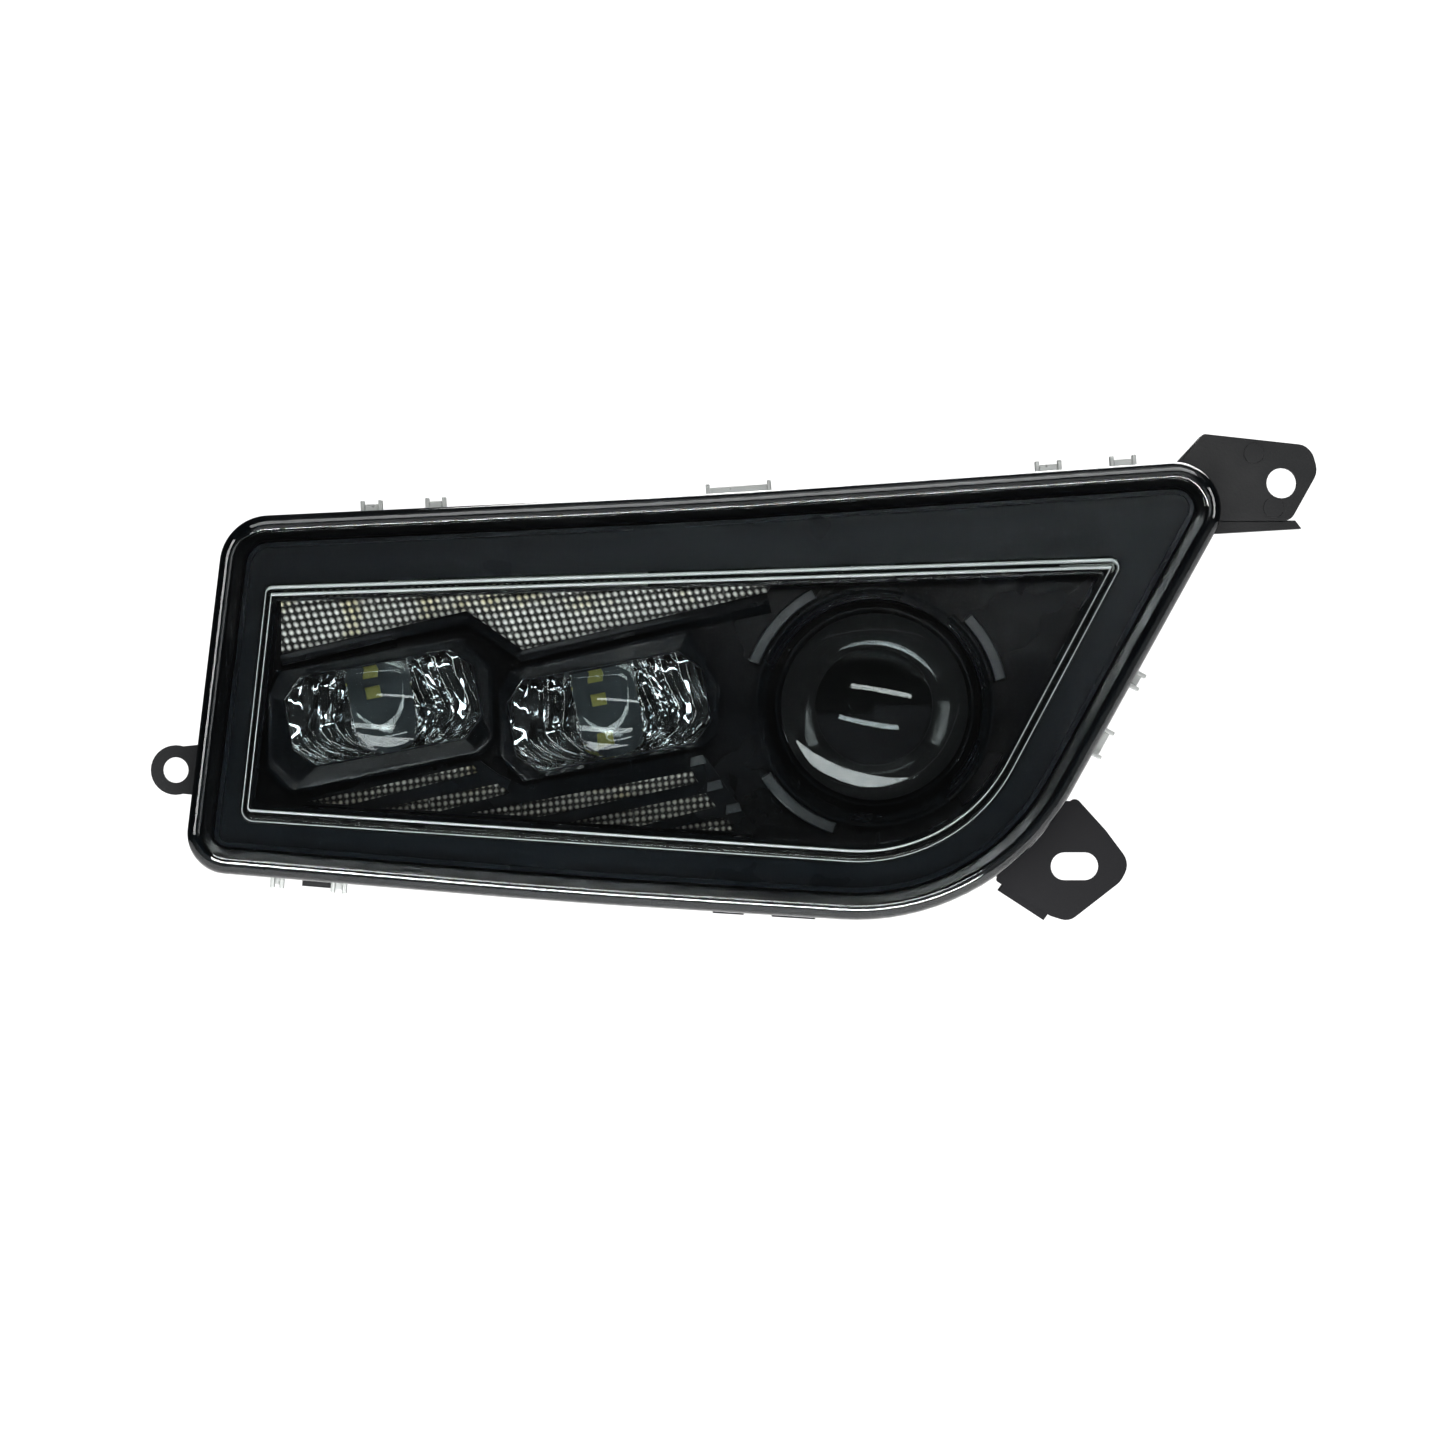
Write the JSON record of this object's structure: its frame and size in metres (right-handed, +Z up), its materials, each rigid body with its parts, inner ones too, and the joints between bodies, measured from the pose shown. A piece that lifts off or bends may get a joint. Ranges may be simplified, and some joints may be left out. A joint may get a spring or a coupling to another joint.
{
  "type": "vehicle headlight assembly",
  "caption": "Flat-lensed black LED headlight with rectangular low optics, a round tilting projector, a light-guide outline, three fixing ears and a finned back.",
  "frame": {"origin": "centre of the whole lamp's box", "axes": "the lamp faces -Y, +X is to the right as seen from the front and along its length, +Z is up"},
  "size_m": [0.3755, 0.114, 0.1568],
  "materials": {
    "outer_lens": "clear hard-coated polycarbonate, moulded",
    "housing": "black glass-filled polypropylene, fine moulded grain",
    "bezel": "black moulded bezel, satin",
    "gloss_bezel": "gloss black moulding",
    "light_guide": "clear acrylic bar, polished edges",
    "optic": "clear moulded total-reflection optic",
    "prism": "clear diamond-beaded prismatic strip",
    "projector_glass": "ground and polished glass",
    "board": "white solder-masked circuit board",
    "die_cast": "die-cast aluminium, bead blasted",
    "reflector": "vapour-metallised reflector",
    "bracket_steel": "black powder-coated sheet steel",
    "plated_steel": "zinc-plated steel",
    "seal": "black rubber",
    "nylon": "natural white nylon",
    "brass": "tinned brass blades"
  },
  "bodies": {
    "housing": {"outer_lens": "outer_lens", "rear_housing": "housing", "rear_cover": "housing", "connector_socket": "housing", "bezel_frame": "bezel", "inner_bezel": "bezel", "louver_grille": "bezel", "projector_shroud": "bezel", "optic_bezel_1": "gloss_bezel", "optic_bezel_2": "gloss_bezel", "light_guide": "light_guide", "optic_1": "optic", "optic_2": "optic", "marker_lens": "prism", "lower_lens": "prism", "guide_board": "board", "marker_board": "board", "lower_board": "board", "optic_board_1": "board", "optic_board_2": "board", "driver_board": "board", "module_heat_sink": "die_cast", "lower_bracket": "bracket_steel", "pivot_pin_left": "plated_steel", "pivot_pin_right": "plated_steel", "cover_screw_1": "plated_steel", "cover_screw_2": "plated_steel", "cover_screw_3": "plated_steel", "cover_screw_4": "plated_steel", "sink_screw_1": "plated_steel", "sink_screw_2": "plated_steel", "sink_screw_3": "plated_steel", "sink_screw_4": "plated_steel", "bracket_screw_1": "plated_steel", "bracket_screw_2": "plated_steel", "lens_seal": "seal", "cover_seal": "seal", "vent_cap_1": "seal", "vent_cap_2": "seal", "adjuster_body": "nylon", "terminal_1": "brass", "terminal_2": "brass", "terminal_3": "brass", "terminal_4": "brass"},
    "projector_carrier": {"carrier_frame": "die_cast", "lens_holder": "gloss_bezel", "projector_lens": "projector_glass", "cutoff_shield": "plated_steel", "reflector_bowl": "reflector", "projector_led_board": "board", "projector_heat_sink": "die_cast", "ball_socket": "nylon"},
    "aim_screw": {"ball_stud": "plated_steel"},
    "aim_knob": {"adjuster_knob": "nylon"}
  },
  "joints": [
    {"name": "vertical_aim", "type": "hinge", "parent": "housing", "child": "projector_carrier", "pos_m": [0.045, -0.008, -0.0095], "axis": [1, 0, 0], "range_deg": [-2.5, 2.5]},
    {"name": "aim_screw_travel", "type": "slide", "parent": "housing", "child": "aim_screw", "axis": [0, -1, 0], "range_m": [-0.00176, 0.00176]},
    {"name": "aim_knob_turn", "type": "hinge", "parent": "housing", "child": "aim_knob", "pos_m": [0.045, 0.052, 0.0305], "axis": [0, 1, 0], "range_deg": [-315, 315]}
  ],
  "couplings": [
    {"joint": "aim_screw_travel", "follows": "vertical_aim", "m_per_rad": 0.04},
    {"joint": "aim_knob_turn", "follows": "vertical_aim", "ratio": 125.66}
  ]
}
